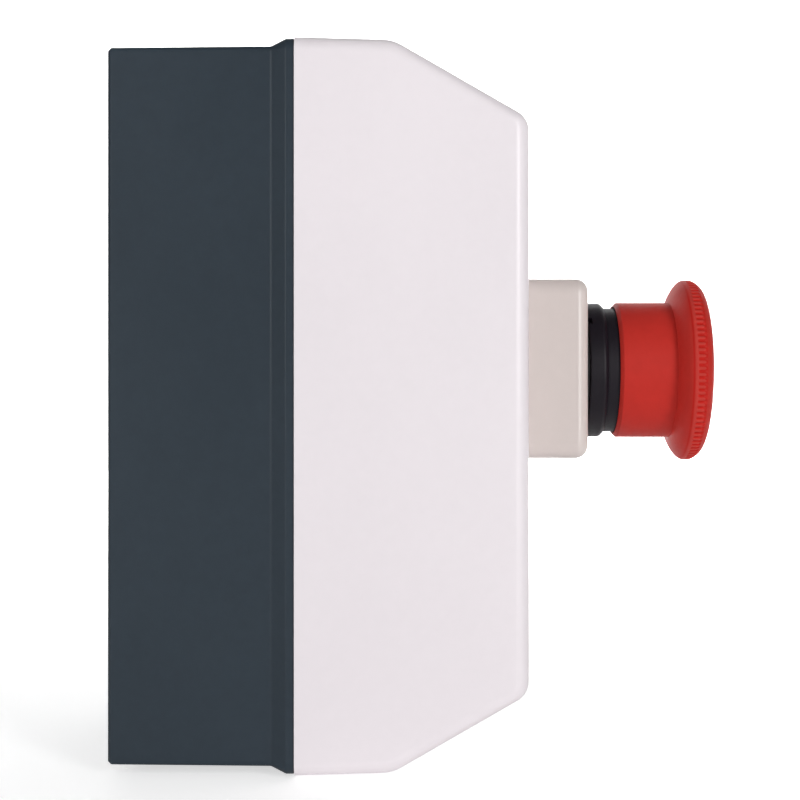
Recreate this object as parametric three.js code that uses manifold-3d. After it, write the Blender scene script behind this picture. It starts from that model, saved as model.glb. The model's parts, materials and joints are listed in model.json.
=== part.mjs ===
// An enclosed push-button motor starter with a twist-release stop mushroom, in millimetres.
//
// The model is laid out as it hangs on a wall: x to the right, y up and z out of the wall, with
// the origin in the middle of the back face. The exported group turns that frame to +Z up, so
// that the front looks along -Y.
import * as THREE from 'three';
import { mergeVertices } from 'three/addons/utils/BufferGeometryUtils.js';
import Module from 'manifold-3d';

const wasm = await Module();
wasm.setup();

// ---- driving dimensions ----------------------------------------------------------------------

const width = 93; // cover at its rim
const height = 146.6;
const depth = 83.7; // back face to the front face of the cover
const split = 37; // height of the joint between base and cover above the back face
const seatGap = 0.1; // between flat faces that rest on each other
const runGap = 0.3; // between a moving or inserted piece and what is round it

const coverWall = 2.5;
const coverEdge = 3; // radius round the side faces of the cover
const coverDraft = 0.022; // share of its width that the cover loses from rim to front
const shoulderStart = 56.6; // where the sloped shoulders leave the top and bottom faces
const shoulderDrop = 15.9; // how far they have come in at the front face
const rimDraft = 0.45; // how far the top and bottom faces come in before the shoulders
const shoulderRadius = 8;
const noseRadius = 4.4;

const floorThickness = 3;
const baseInset = { back: 2.1, neck: 1.8, flange: 0.3 }; // from the outline of the cover's rim
const baseInner = { floor: 4.9, rim: 4.5 };
const neckEnd = 32.4; // the base flares between here and the flange
const flangeStart = 35.4;
const groove = { outer: 1.6, inner: 3.2, depth: 2.5 };

const screwX = 37.6; // cover screws, from the middle
const screwY = 64.4;
const wellFloor = 48; // what the heads of the cover screws rest on
const wellRadius = 4.3;
const wallHole = { x: 33, y: 48, radius: 3.3, seat: 5.8 };
const entry = { x: 20, z: 18.5, radius: 11.2 }; // cable knock-outs in the top and bottom walls

const stopY = 8; // axis of the stop mushroom above the middle
const startY = -22; // axis of the start button

const collarSide = 38.7; // square collar that carries the stop mushroom
const collarDepth = 14.8;
const collarWall = 2.6;
const collarScrewAt = 14.6; // from the axis of the mushroom, both ways
const collarFace = depth + collarDepth;

const breakerY = -7;
const breakerBack = 8.5; // back of the breaker above the wall
const breakerWidth = 45;
const breakerHeight = 89;
const breakerSplit = 30;
const breakerFace = 48;
const noseFace = 64;
const noseHeight = 45;
const buttonTip = 67;
const poleX = [-14, 0, 14];
const terminalY = 38; // from the middle of the breaker
const clampSize = 8.6;
const latchWidth = 12;

const rail = { y: breakerY, back: 4.4, height: 7.5, sheet: 1, width: 35, web: 27, length: 68 };
const railScrewX = 28;
const earthY = 54; // earth bar, above the middle

// ---- materials -------------------------------------------------------------------------------

const finish = (color, roughness, metalness = 0) =>
  new THREE.MeshStandardMaterial({ color, roughness, metalness });

const slateAbs = finish(0x38424b, 0.45);
const paleAbs = finish(0xece6ea, 0.35);
const ivoryAbs = finish(0xd5cbc9, 0.4);
const blackNylon = finish(0x26242a, 0.5);
const redNylon = finish(0xc03a32, 0.45);
const greenNylon = finish(0x2f8a4a, 0.45);
const greyNylon = finish(0x9a9c9e, 0.55);
const whiteNylon = finish(0xe4e2dc, 0.5);
const blackRubber = finish(0x1c1c1e, 0.85);
const zincSteel = finish(0xb8bcc0, 0.35, 1);
const springSteel = finish(0x9aa0a6, 0.3, 1);
const brass = finish(0xb9974f, 0.35, 1);
const copper = finish(0xb06a42, 0.35, 1);

// ---- making solids ---------------------------------------------------------------------------

// A closed three.js geometry as a solid that can be cut and joined.
function solidOf(geometry) {
  const bare = geometry.index ? geometry.toNonIndexed() : geometry.clone();
  bare.deleteAttribute('normal');
  bare.deleteAttribute('uv');
  const merged = mergeVertices(bare, 1e-4);
  return new wasm.Manifold(new wasm.Mesh({
    numProp: 3,
    vertProperties: merged.attributes.position.array,
    triVerts: new Uint32Array(merged.index.array),
  }));
}

function geometryOf(solid) {
  const made = solid.getMesh();
  const geometry = new THREE.BufferGeometry();
  geometry.setAttribute('position', new THREE.BufferAttribute(made.vertProperties, 3));
  geometry.setIndex(new THREE.BufferAttribute(made.triVerts, 1));
  const flat = geometry.toNonIndexed();
  flat.computeVertexNormals();
  return flat;
}

const cut = (solid, ...tools) => tools.flat().reduce((left, tool) => left.subtract(tool), solid);
const join = (...solids) => solids.flat().reduce((sum, solid) => sum.add(solid));

// A closed outline through corners [x, y, radius], anticlockwise, each corner turned by an arc.
function outline(corners) {
  const shape = new THREE.Shape();
  const count = corners.length;
  corners.forEach(([x, y, radius], i) => {
    const corner = new THREE.Vector2(x, y);
    const toLast = new THREE.Vector2(...corners[(i + count - 1) % count]).sub(corner).normalize();
    const toNext = new THREE.Vector2(...corners[(i + 1) % count]).sub(corner).normalize();
    const half = Math.acos(toLast.dot(toNext)) / 2;
    const start = corner.clone().addScaledVector(toLast, radius / Math.tan(half));
    if (i === 0) shape.moveTo(start.x, start.y);
    else shape.lineTo(start.x, start.y);
    if (radius === 0) return;
    const end = corner.clone().addScaledVector(toNext, radius / Math.tan(half));
    const centre = corner.clone()
      .addScaledVector(toLast.clone().add(toNext).normalize(), radius / Math.sin(half));
    const inwards = toLast.cross(toNext) > 0;
    shape.absarc(centre.x, centre.y, radius,
      Math.atan2(start.y - centre.y, start.x - centre.x),
      Math.atan2(end.y - centre.y, end.x - centre.x), inwards);
  });
  shape.closePath();
  return shape;
}

const rectangle = (w, h, radius = 0) => outline([
  [-w / 2, -h / 2, radius], [w / 2, -h / 2, radius],
  [w / 2, h / 2, radius], [-w / 2, h / 2, radius],
]);

// The rim outline of the cover, drawn in by an inset.
const rimOutline = (inset) =>
  rectangle(width - 2 * inset, height - 2 * inset, Math.max(coverEdge - inset, 0.8));

// An outline carried from z = from to z = to.
function prism(shape, from, to, curveSegments = 3) {
  const options = { depth: to - from, bevelEnabled: false, curveSegments };
  return solidOf(new THREE.ExtrudeGeometry(shape, options).translate(0, 0, from));
}

const block = (w, h, from, to, x = 0, y = 0, radius = 0) =>
  prism(rectangle(w, h, radius), from, to).translate(x, y, 0);

// A profile of [radius, z] points, anticlockwise with the radius to the right, spun round z.
// A profile that doesn't start on the axis closes on itself.
function spun(profile, segments = 24) {
  const closed = profile[0][0] === 0 ? profile : [...profile, profile[0]];
  const points = closed.map(([radius, z]) => new THREE.Vector2(radius, z));
  return solidOf(new THREE.LatheGeometry(points, segments).rotateX(Math.PI / 2));
}

const cylinder = (radius, from, to, segments = 24) =>
  spun([[0, from], [radius, from], [radius, to], [0, to]], segments);

const tube = (inner, outer, from, to, segments = 24) =>
  spun([[inner, from], [outer, from], [outer, to], [inner, to]], segments);

// A prism whose outline grows or shrinks: each station is [z, growth of every side].
function stepped(shape, stations) {
  const steps = stations.length - 1;
  const options = { depth: steps, steps, bevelEnabled: false, curveSegments: 3 };
  const geometry = new THREE.ExtrudeGeometry(shape, options);
  const position = geometry.attributes.position;
  for (let i = 0; i < position.count; i += 1) {
    const [z, growth] = stations[Math.round(position.getZ(i))];
    const x = position.getX(i);
    const y = position.getY(i);
    position.setXYZ(i, x + Math.sign(x) * growth, y + Math.sign(y) * growth, z);
  }
  return solidOf(geometry);
}

// A helical spring round z with flat-topped ends left open, from z = from to z = to.
function coil(meanRadius, wire, turns, from, to) {
  const stepsPerTurn = 12;
  const rise = to - from - 2 * wire;
  const points = [];
  for (let i = 0; i <= turns * stepsPerTurn; i += 1) {
    const angle = (i / stepsPerTurn) * 2 * Math.PI;
    const z = from + wire + (rise * i) / (turns * stepsPerTurn);
    points.push(new THREE.Vector3(meanRadius * Math.cos(angle), meanRadius * Math.sin(angle), z));
  }
  const section = new THREE.Shape();
  const sides = 5;
  for (let i = 0; i < sides; i += 1) {
    const angle = (i / sides) * 2 * Math.PI;
    section[i ? 'lineTo' : 'moveTo'](wire * Math.cos(angle), wire * Math.sin(angle));
  }
  section.closePath();
  const extrudePath = new THREE.CatmullRomCurve3(points);
  const steps = turns * stepsPerTurn;
  return solidOf(new THREE.ExtrudeGeometry(section, { steps, extrudePath, bevelEnabled: false }));
}

// ---- placing pieces --------------------------------------------------------------------------

function piece(parent, name, solid, material, x = 0, y = 0, z = 0) {
  const mesh = new THREE.Mesh(geometryOf(solid), material);
  mesh.name = name;
  mesh.position.set(x, y, z);
  parent.add(mesh);
  return mesh;
}

function assembly(parent, x = 0, y = 0, z = 0) {
  const group = new THREE.Group();
  group.position.set(x, y, z);
  parent.add(group);
  return group;
}

// The four corners at (+-x, +-y), in the order top left, top right, bottom left, bottom right.
const corners = (x, y) => [
  ['top_left', -x, y], ['top_right', x, y], ['bottom_left', -x, -y], ['bottom_right', x, -y],
];

// A pan-head screw seen from the front: its head rests at z = 0 and its shank goes to -length.
// The cross in its head is two crossed slots.
function screw(headRadius, headHeight, shankRadius, length) {
  const body = spun([
    [0, -length], [shankRadius * 0.5, -length], [shankRadius, -length + shankRadius],
    [shankRadius, 0], [headRadius, 0], [headRadius, headHeight * 0.55],
    [headRadius * 0.7, headHeight], [0, headHeight],
  ], 12);
  const slotFloor = headHeight * 0.45;
  const long = headRadius * 1.2;
  const narrow = headRadius * 0.28;
  return cut(body,
    block(long, narrow, slotFloor, headHeight + 1), block(narrow, long, slotFloor, headHeight + 1));
}

// ---- enclosure -------------------------------------------------------------------------------

// The side outline of the cover, drawn in by an inset, with depth to the right and height up.
// It starts well behind the rim, where the shell is cut off flat.
function coverSideOutline(inset) {
  const halfHeight = height / 2;
  const slope = Math.atan2(shoulderDrop - rimDraft, depth - shoulderStart);
  const front = depth - inset;
  const start = [shoulderStart - inset * Math.tan(slope / 2), halfHeight - rimDraft - inset];
  const noseTurn = Math.PI / 2 - slope;
  const end = [front, halfHeight - shoulderDrop - inset * Math.tan(noseTurn / 2)];
  const behind = split - 6;
  const rimTop = halfHeight - inset + (6 * rimDraft) / (shoulderStart - split);
  const shoulder = Math.max(shoulderRadius - inset, 1);
  const nose = Math.max(noseRadius - inset, 1);
  return outline([
    [behind, -rimTop, 0], [start[0], -start[1], shoulder], [end[0], -end[1], nose],
    [end[0], end[1], nose], [start[0], start[1], shoulder], [behind, rimTop, 0],
  ]);
}

// The side outline carried across the width, with its rim rounded and the sides drafted.
function coverBlock(inset, edge) {
  const across = width - 2 * inset;
  const geometry = new THREE.ExtrudeGeometry(coverSideOutline(inset), {
    depth: across - 2 * edge,
    curveSegments: 3,
    bevelThickness: edge,
    bevelSize: edge,
    bevelOffset: -edge,
    bevelSegments: 4,
  });
  geometry.translate(0, 0, edge - across / 2).rotateY(-Math.PI / 2);
  const position = geometry.attributes.position;
  for (let i = 0; i < position.count; i += 1) {
    const along = (position.getZ(i) - split) / (depth - split);
    position.setX(i, position.getX(i) * (1 - coverDraft * along));
  }
  return solidOf(geometry);
}

function coverShell() {
  const outside = coverBlock(0, coverEdge);
  const behind = block(2 * width, 2 * height, 0, split + seatGap);
  const tongue = cut(prism(rimOutline(groove.outer + 0.15), split - 0.7, split + 3),
    prism(rimOutline(groove.inner - 0.15), split - 1, split + 4));
  const columns = corners(screwX, screwY).map(([, x, y]) =>
    cylinder(6.6, split + seatGap, depth).translate(x, y, 0).intersect(outside));
  const wells = corners(screwX, screwY).map(([, x, y]) =>
    join(cylinder(wellRadius, wellFloor, depth + 5), cylinder(2.3, split - 1, depth))
      .translate(x, y, 0));
  const shell = join(cut(outside, coverBlock(coverWall, 1.2), behind), tongue, columns);
  const plungerHole = cylinder(9, depth - 6, depth + 1).translate(0, stopY, 0);
  const collarScrewHoles = corners(collarScrewAt, collarScrewAt).map(([, x, y]) =>
    cylinder(1.8, depth - 6, depth + 1, 12).translate(x, y + stopY, 0));
  const startSeat = join(cylinder(10, depth - 1.7, depth + 1), cylinder(8.6, depth - 6, depth + 1));
  return cut(shell, wells, plungerHole, collarScrewHoles, startSeat.translate(0, startY, 0));
}

function baseShell() {
  const rim = rimOutline(0);
  const outside = stepped(rim, [
    [0, -baseInset.back - 0.5], [0.5, -baseInset.back], [neckEnd, -baseInset.neck],
    [flangeStart, -baseInset.flange], [split, -baseInset.flange],
  ]);
  const inside = stepped(rimOutline(baseInner.rim),
    [[floorThickness, baseInner.rim - baseInner.floor], [split + 1, 0]]);
  const sealGroove = cut(prism(rimOutline(groove.outer), split - groove.depth, split + 1),
    prism(rimOutline(groove.inner), split - groove.depth - 1, split + 2));
  const posts = corners(screwX, screwY).map(([, x, y]) =>
    cylinder(4.6, 1, split - seatGap).translate(x, y, 0));
  const pads = [-railScrewX, railScrewX].map((x) =>
    cylinder(5, 1, rail.back - seatGap).translate(x, rail.y, 0));
  const earthPad = block(30, 10, 1, 6, 0, earthY);
  const shell = join(cut(outside, inside, sealGroove), posts, pads, earthPad);

  const pilots = corners(screwX, screwY).map(([, x, y]) =>
    cylinder(2.2, 18, split + 1, 16).translate(x, y, 0));
  const railPilots = [-railScrewX, railScrewX].map((x) =>
    cylinder(2.2, 1.2, 8, 16).translate(x, rail.y, 0));
  const wallHoles = corners(wallHole.x, wallHole.y).map(([, x, y]) =>
    join(cylinder(wallHole.radius, -1, floorThickness + 1, 16),
      cylinder(wallHole.seat, floorThickness - 1.2, floorThickness + 1, 16)).translate(x, y, 0));
  const knockouts = corners(entry.x, height / 2).map(([, x, y]) =>
    tube(entry.radius - 0.9, entry.radius, -3.4, 3.4, 24).rotate([90, 0, 0])
      .translate(x, y, entry.z));
  const pockets = corners(20.5, 34.5).map(([, x, y]) =>
    cut(block(33, 61, -1, 0.8, x, y, 3),
      cylinder(8, -2, 2).translate(Math.sign(x) * wallHole.x, Math.sign(y) * wallHole.y, 0)));
  const earthPilots = [-8, 8].map((x) => cylinder(1.8, 2, 8, 12).translate(x, earthY, 0));
  return cut(shell, pilots, railPilots, wallHoles, knockouts, pockets, earthPilots);
}

function buildEnclosure(root) {
  piece(root, 'base_shell', baseShell(), slateAbs);
  piece(root, 'cover_shell', coverShell(), paleAbs);
  const seal = cut(prism(rimOutline(groove.outer + 0.15), 0, 1.5),
    prism(rimOutline(groove.inner - 0.15), -1, 3));
  piece(root, 'cover_seal', seal, blackRubber, 0, 0, split - groove.depth + seatGap);
  corners(screwX, screwY).forEach(([place, x, y]) => {
    const coverScrew = screw(3.8, 2.8, 1.9, 26);
    piece(root, `cover_screw_${place}`, coverScrew, zincSteel, x, y, wellFloor + seatGap);
  });
}

// ---- rail and earth terminal -----------------------------------------------------------------

function topHatRail() {
  const { height: tall, sheet, width: across, web, length } = rail;
  const half = outline([
    [-across / 2, tall - sheet, 0], [-web / 2, tall - sheet, 0], [-web / 2, 0, 0],
    [web / 2, 0, 0], [web / 2, tall - sheet, 0], [across / 2, tall - sheet, 0],
    [across / 2, tall, 0], [web / 2 - sheet, tall, 0], [web / 2 - sheet, sheet, 0],
    [-web / 2 + sheet, sheet, 0], [-web / 2 + sheet, tall, 0], [-across / 2, tall, 0],
  ]);
  return prism(half, -length / 2, length / 2).rotate([90, 0, 90]);
}

function buildRail(root) {
  const group = assembly(root, 0, rail.y, rail.back);
  const holes = [-railScrewX, railScrewX].map((x) => cylinder(2.4, -1, 3, 16).translate(x, 0, 0));
  piece(group, 'din_rail', cut(topHatRail(), holes), zincSteel);
  [['left', -railScrewX], ['right', railScrewX]].forEach(([side, x]) => {
    piece(group, `rail_screw_${side}`, screw(4, 2.4, 1.9, 3.6), zincSteel, x, 0,
      rail.sheet + seatGap);
  });
}

function buildEarthTerminal(root) {
  const group = assembly(root, 0, earthY, 6 + seatGap);
  const barHoles = [-8, 8].map((x) => cylinder(2.1, -1, 10, 16).translate(x, 0, 0));
  const wireHoles = [-8, 0, 8].map((x) =>
    cylinder(2.2, -6, 6, 16).rotate([90, 0, 0]).translate(x, 0, 4));
  const clampHole = cylinder(1.9, 4, 10, 16);
  const bar = cut(block(28, 8, 0, 8), barHoles, wireHoles, clampHole);
  piece(group, 'earth_bar', bar, brass);
  piece(group, 'earth_bar_screw_left', screw(3.2, 2, 1.5, 11), zincSteel, -8, 0, 8 + seatGap);
  piece(group, 'earth_bar_screw_right', screw(3.2, 2, 1.5, 11), zincSteel, 8, 0, 8 + seatGap);
  piece(group, 'earth_clamp_screw', screw(3.2, 2, 1.5, 3.6), zincSteel, 0, 0, 8 + seatGap);
}

// ---- motor breaker ---------------------------------------------------------------------------

function breakerRear() {
  const top = breakerHeight / 2;
  const body = block(breakerWidth, breakerHeight, breakerBack, breakerSplit, 0, 0, 1);
  const lip = rail.back + rail.height + seatGap * 3;
  const under = rail.back + rail.height - rail.sheet - runGap;
  const channel = join(
    block(60, 35.8, under, lip),
    block(60, 32.3, 0, under + 0.1, 0, -1.75));
  const latchSlot = block(latchWidth + 2 * runGap, 32, 0, under + 0.1, 0, -33);
  const inside = block(41, 60, 15, breakerSplit + 1);
  return cut(body, channel, latchSlot, inside, terminalPockets(1));
}

// Room for the six clamps, open to the end faces where the wires go in.
function terminalPockets(reach) {
  return [1, -1].flatMap((end) => poleX.map((x) =>
    block(clampSize + 0.8, 14, 27, 39.5, x, end * (terminalY + 2.4 * reach))));
}

function breakerCase() {
  const body = block(breakerWidth, breakerHeight, breakerSplit + seatGap, breakerFace, 0, 0, 1);
  const nose = block(breakerWidth, noseHeight, breakerFace - 1, noseFace, 0, 0, 1.2);
  const inside = join(block(41, 60, breakerSplit - 1, breakerFace - 2),
    block(41, 41, breakerFace - 3, noseFace - 2));
  const screwWells = [1, -1].flatMap((end) => poleX.map((x) =>
    cylinder(3.7, 37, breakerFace + 1, 16).translate(x, end * terminalY, 0)));
  const buttonHoles = [stopY, startY].map((y) =>
    block(11.2, 11.2, noseFace - 4, noseFace + 1, 0, y - breakerY, 1));
  const dialHole = cylinder(5.7, noseFace - 4, noseFace + 1);
  return cut(join(body, nose), inside, screwWells, terminalPockets(1), buttonHoles, dialHole);
}

// A square button with a stem and a foot that keeps it in the case.
const breakerButton = () => join(
  block(10.6, 10.6, noseFace - 5, buttonTip, 0, 0, 1),
  block(13.4, 10.6, noseFace - 6, noseFace - 2.3),
  block(4, 4, noseFace - 12, noseFace - 5));

function buildBreaker(root) {
  const group = assembly(root, 0, breakerY, 0);
  piece(group, 'breaker_rear', breakerRear(), greyNylon);
  piece(group, 'breaker_case', breakerCase(), greyNylon);
  const latch = join(block(latchWidth, 32, 8.8, 10.4, 0, -31.1),
    block(latchWidth, 2, 6.2, 10.4, 0, -47.6));
  piece(group, 'breaker_latch', latch, blackNylon);
  piece(group, 'breaker_stop_button', breakerButton(), redNylon, 0, stopY - breakerY, 0);
  piece(group, 'breaker_start_button', breakerButton(), blackNylon, 0, startY - breakerY, 0);
  const dialBody = join(
    cylinder(5.3, noseFace - 3, noseFace + 1), cylinder(7, noseFace - 5, noseFace - 2.4));
  const dial = cut(dialBody, block(9, 1.4, noseFace - 0.2, noseFace + 2));
  piece(group, 'current_dial', dial, whiteNylon);
  [['line', 1], ['load', -1]].forEach(([end, sign]) => {
    poleX.forEach((x, pole) => {
      const clamp = cut(block(clampSize, clampSize, -4.5, 4.5),
        block(5.6, 20, -2.6, 2.6), cylinder(2.1, 0, 6, 16));
      piece(group, `${end}_clamp_${pole + 1}`, clamp, brass, x, sign * terminalY, 32);
      piece(group, `${end}_screw_${pole + 1}`, screw(3.2, 2.2, 1.7, 6.5), zincSteel, x,
        sign * terminalY, 36.5 + seatGap);
    });
  });
  poleX.forEach((x, pole) => {
    const coilBody = join(tube(2.6, 4.6, 0, 12, 14), tube(2.6, 5.6, 0, 1, 14),
      tube(2.6, 5.6, 11, 12, 14));
    piece(group, `trip_coil_${pole + 1}`, coilBody, copper, x, 19, 17);
    const strip = block(6, 1.1, 0, 22);
    piece(group, `heater_strip_${pole + 1}`, strip, brass, x, -22, 16.5);
  });
  const bridges = poleX.map((x) => block(5, 24, 0, 1.4, x, 0));
  const carrier = join(block(38, 9, 1.2, 8), bridges, block(6, 6, 7, 15.6, 0, -6));
  piece(group, 'contact_carrier', carrier, blackNylon, 0, startY - breakerY + 6, 36);
}

// ---- stop mushroom ---------------------------------------------------------------------------

const neckRadius = 13.9;
const skirtEnd = 7.45; // where the skirt of the mushroom meets its sleeve
const nutThickness = 4.5;
const nutFront = -collarWall - 0.3;

// The square collar stands on the cover. Its four corner posts take the screws from inside.
function stopCollar() {
  const geometry = new THREE.ExtrudeGeometry(rectangle(collarSide, collarSide, 3.4), {
    depth: collarDepth - seatGap - 2.6,
    curveSegments: 3,
    bevelThickness: 2.6,
    bevelSize: 2.6,
    bevelOffset: -2.6,
    bevelSegments: 4,
  });
  const outside = solidOf(geometry.translate(0, 0, seatGap - collarDepth));
  const behind = block(60, 60, -collarDepth - 5, seatGap - collarDepth);
  const inner = collarSide - 2 * collarWall;
  const inside = block(inner, inner, -collarDepth - 5, -collarWall, 0, 0, 2);
  const posts = corners(collarScrewAt, collarScrewAt).map(([, x, y]) =>
    cylinder(3, -collarDepth + 1.3, -1, 16).translate(x, y, 0));
  const pilots = corners(collarScrewAt, collarScrewAt).map(([, x, y]) =>
    cylinder(1.4, -collarDepth, -collarWall - 1, 12).translate(x, y, 0));
  const shell = join(cut(outside, behind, inside), posts.map((post) => post.intersect(outside)));
  return cut(shell, pilots, cylinder(11.3, -collarDepth, 1, 32));
}

function stopBezel() {
  const body = spun([
    [9, -9.6], [4.5, -9.6], [4.5, -12.2], [11, -12.2], [11, 0.9], [15.05, 0.9], [15.05, 4.25],
    [neckRadius + runGap, 5.15], [neckRadius + runGap, 2], [12, 2], [12, 12], [9, 12],
  ], 40);
  const notches = [135, 315].map((angle) =>
    block(4, 1.9, 0.2, 1.75, 15.9, 0).rotate([0, 0, angle]));
  return cut(body, notches);
}

// The sleeve is fixed in the skirt of the mushroom and slides in the bezel.
const stopSleeve = () => spun([
  [12 + runGap, 4.1], [neckRadius, 4.1], [neckRadius, 8.6], [14.15, 8.6], [14.15, 12],
  [12 + runGap, 12],
], 36);


function mushroomHead() {
  const radius = 20.2;
  const skirt = 15.15;
  const flare = { start: 19.85, rise: 3.4 };
  const dome = { start: 24.6, rise: 2.85 };
  const arcs = 6;
  const turns = Array.from({ length: arcs }, (_, i) => ((i + 1) / arcs) * (Math.PI / 2));
  const underside = turns.map((turn) => [
    skirt + (radius - skirt) * Math.sin(turn),
    flare.start + flare.rise * (1 - Math.cos(turn)) ** 0.65,
  ]);
  const face = turns.slice(0, -1).map((turn) => [
    radius * Math.cos(turn) ** 0.133,
    dome.start + dome.rise * Math.sin(turn) ** 1.86,
  ]);
  return spun([
    [0, 17], [4.3, 17], [4.3, 10.3], [7, 10.3], [7, 24], [14.25, 24],
    [14.25, skirtEnd], [14.4, skirtEnd], [skirt, skirtEnd + 0.75], [skirt, flare.start],
    ...underside, [radius, dome.start], ...face, [0, dome.start + dome.rise],
  ], 44);
}

// The plunger carries the head and reaches the stop button of the breaker.
function stopPlunger() {
  const tip = buttonTip + runGap - collarFace;
  return spun([
    [0, tip], [3.2, tip], [4, tip + 1], [4, 8], [8.5, 8], [8.5, 10], [4, 10], [4, 16.6], [0, 16.6],
  ], 24);
}

function lockNut() {
  const hexagon = new THREE.Shape();
  const reach = 15.6;
  for (let i = 0; i < 6; i += 1) {
    const angle = (i / 6) * 2 * Math.PI;
    hexagon[i ? 'lineTo' : 'moveTo'](reach * Math.cos(angle), reach * Math.sin(angle));
  }
  hexagon.closePath();
  return cut(prism(hexagon, -nutThickness, 0), cylinder(11.3, -10, 1, 32));
}

function buildStopHead(root) {
  const group = assembly(root, 0, stopY, collarFace);
  piece(group, 'stop_collar', stopCollar(), ivoryAbs);
  const sealSide = collarSide - 2 * collarWall - 0.6;
  const sealHoles = corners(collarScrewAt, collarScrewAt).map(([, x, y]) =>
    cylinder(1.8, -1, 2, 12).translate(x, y, 0));
  const collarSeal = cut(block(sealSide, sealSide, 0, 1, 0, 0, 1.6), cylinder(12, -1, 2, 24), sealHoles);
  piece(group, 'collar_seal', collarSeal, blackRubber, 0, 0, seatGap - collarDepth);
  corners(collarScrewAt, collarScrewAt).forEach(([place, x, y]) => {
    const collarScrew = screw(2.8, 1.8, 1.1, 11).rotate([0, 180, 0]);
    piece(group, `collar_screw_${place}`, collarScrew, zincSteel, x, y,
      -collarDepth - coverWall - seatGap);
  });
  piece(group, 'stop_bezel', stopBezel(), blackNylon);
  piece(group, 'bezel_seal', tube(11.3, 14.6, 0.1, 0.8, 32), blackRubber);
  piece(group, 'lock_nut', lockNut(), zincSteel, 0, 0, nutFront);
  piece(group, 'stop_mushroom', mushroomHead(), redNylon);
  piece(group, 'stop_sleeve', stopSleeve(), blackNylon);
  piece(group, 'stop_plunger', stopPlunger(), whiteNylon);
  piece(group, 'stop_spring', coil(6.3, 0.6, 5, -9.4, 7.7), springSteel);
}

// ---- start button ----------------------------------------------------------------------------

function buildStartButton(root) {
  const group = assembly(root, 0, startY, depth);
  const bezel = spun([
    [3.1, -14], [8.2, -14], [8.2, -1.6], [9.7, -1.6], [9.7, -0.2], [9.2, 0], [6.7, 0],
    [6.7, -12.6], [3.1, -12.6],
  ], 32);
  piece(group, 'start_bezel', bezel, blackNylon);
  const retainer = tube(8.6, 11, -2.4, 0, 24);
  piece(group, 'start_retainer', retainer, greyNylon, 0, 0, -coverWall - seatGap);
  const tip = buttonTip + runGap - depth;
  const cap = spun([
    [0, tip], [2.7, tip], [2.7, -4.6], [6.35, -4.6], [6.35, -0.9], [5.9, -0.4], [0, -0.4],
  ], 28);
  piece(group, 'start_cap', cap, greenNylon);
  piece(group, 'start_spring', coil(4.6, 0.45, 4, -12.4, -4.8), springSteel);
}

// ---- the whole station -----------------------------------------------------------------------

const station = new THREE.Group();
station.rotation.x = Math.PI / 2;
buildEnclosure(station);
buildRail(station);
buildEarthTerminal(station);
buildBreaker(station);
buildStopHead(station);
buildStartButton(station);

export default station;
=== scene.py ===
import json
import math

import bmesh
import bpy
import numpy as np
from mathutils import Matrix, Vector


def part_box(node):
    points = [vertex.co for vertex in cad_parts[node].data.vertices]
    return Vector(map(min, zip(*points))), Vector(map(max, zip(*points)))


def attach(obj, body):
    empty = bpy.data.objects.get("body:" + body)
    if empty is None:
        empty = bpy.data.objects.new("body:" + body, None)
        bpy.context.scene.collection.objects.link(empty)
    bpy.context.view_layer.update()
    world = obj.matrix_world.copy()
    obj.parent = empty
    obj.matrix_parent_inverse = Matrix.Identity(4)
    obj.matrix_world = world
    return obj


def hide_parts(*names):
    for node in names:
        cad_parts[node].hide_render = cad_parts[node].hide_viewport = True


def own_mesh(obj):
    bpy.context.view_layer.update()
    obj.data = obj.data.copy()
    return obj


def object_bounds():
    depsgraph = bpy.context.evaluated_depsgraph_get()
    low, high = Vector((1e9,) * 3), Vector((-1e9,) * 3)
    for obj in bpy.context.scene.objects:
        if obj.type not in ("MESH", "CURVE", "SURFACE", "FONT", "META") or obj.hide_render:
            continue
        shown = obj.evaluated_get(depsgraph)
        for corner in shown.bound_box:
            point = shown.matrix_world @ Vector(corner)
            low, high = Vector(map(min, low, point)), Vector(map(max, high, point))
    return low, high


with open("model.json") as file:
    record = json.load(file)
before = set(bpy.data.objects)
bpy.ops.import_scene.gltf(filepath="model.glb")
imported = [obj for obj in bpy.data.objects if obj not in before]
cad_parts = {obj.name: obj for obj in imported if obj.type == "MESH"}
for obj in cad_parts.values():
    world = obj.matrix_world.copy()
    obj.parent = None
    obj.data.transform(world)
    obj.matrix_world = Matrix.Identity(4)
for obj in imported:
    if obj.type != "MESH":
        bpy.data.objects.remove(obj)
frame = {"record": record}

cad_box = [list(corner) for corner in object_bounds()]

# Shapes are drawn as the station hangs on its wall, in millimetres: x to the right, y up and z out
# of the wall. place() turns that into the frame's metres: X, -Y for the way out, and Z up.
MM = 0.001


def place(points):
    """(x, y, z) on the wall, in millimetres, to (x, -z, y) in metres."""
    points = np.asarray(points, float)
    return np.stack([points[..., 0], -points[..., 2], points[..., 1]], axis=-1) * MM


def wall_box(node):
    """Lowest and highest corner of a CAD node on the wall, in millimetres."""
    low, high = np.array([list(corner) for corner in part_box(node)]) / MM
    return np.array([low[0], low[2], -high[1]]), np.array([high[0], high[2], -low[1]])


# ---- driving dimensions, from the frame -------------------------------------------------------

_, base_high = wall_box("base_shell")
cover_low, cover_high = wall_box("cover_shell")
collar_low, collar_high = wall_box("stop_collar")
head_low, head_high = wall_box("stop_mushroom")
start_low, start_high = wall_box("start_bezel")
cap_low, _ = wall_box("start_cap")

WIDTH, HEIGHT = (cover_high - cover_low)[:2]
DEPTH = cover_high[2]
SPLIT = base_high[2]
STOP_Y = (head_low[1] + head_high[1]) / 2
START_Y = (start_low[1] + start_high[1]) / 2
COLLAR_SIDE = collar_high[0] - collar_low[0]
COLLAR_FACE = collar_high[2]

SEAT_GAP = 0.1  # air left between two parts that would else touch
RIM_RADIUS = 3.0  # upright corners of base and cover


# ---- outlines and solids ----------------------------------------------------------------------

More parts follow.
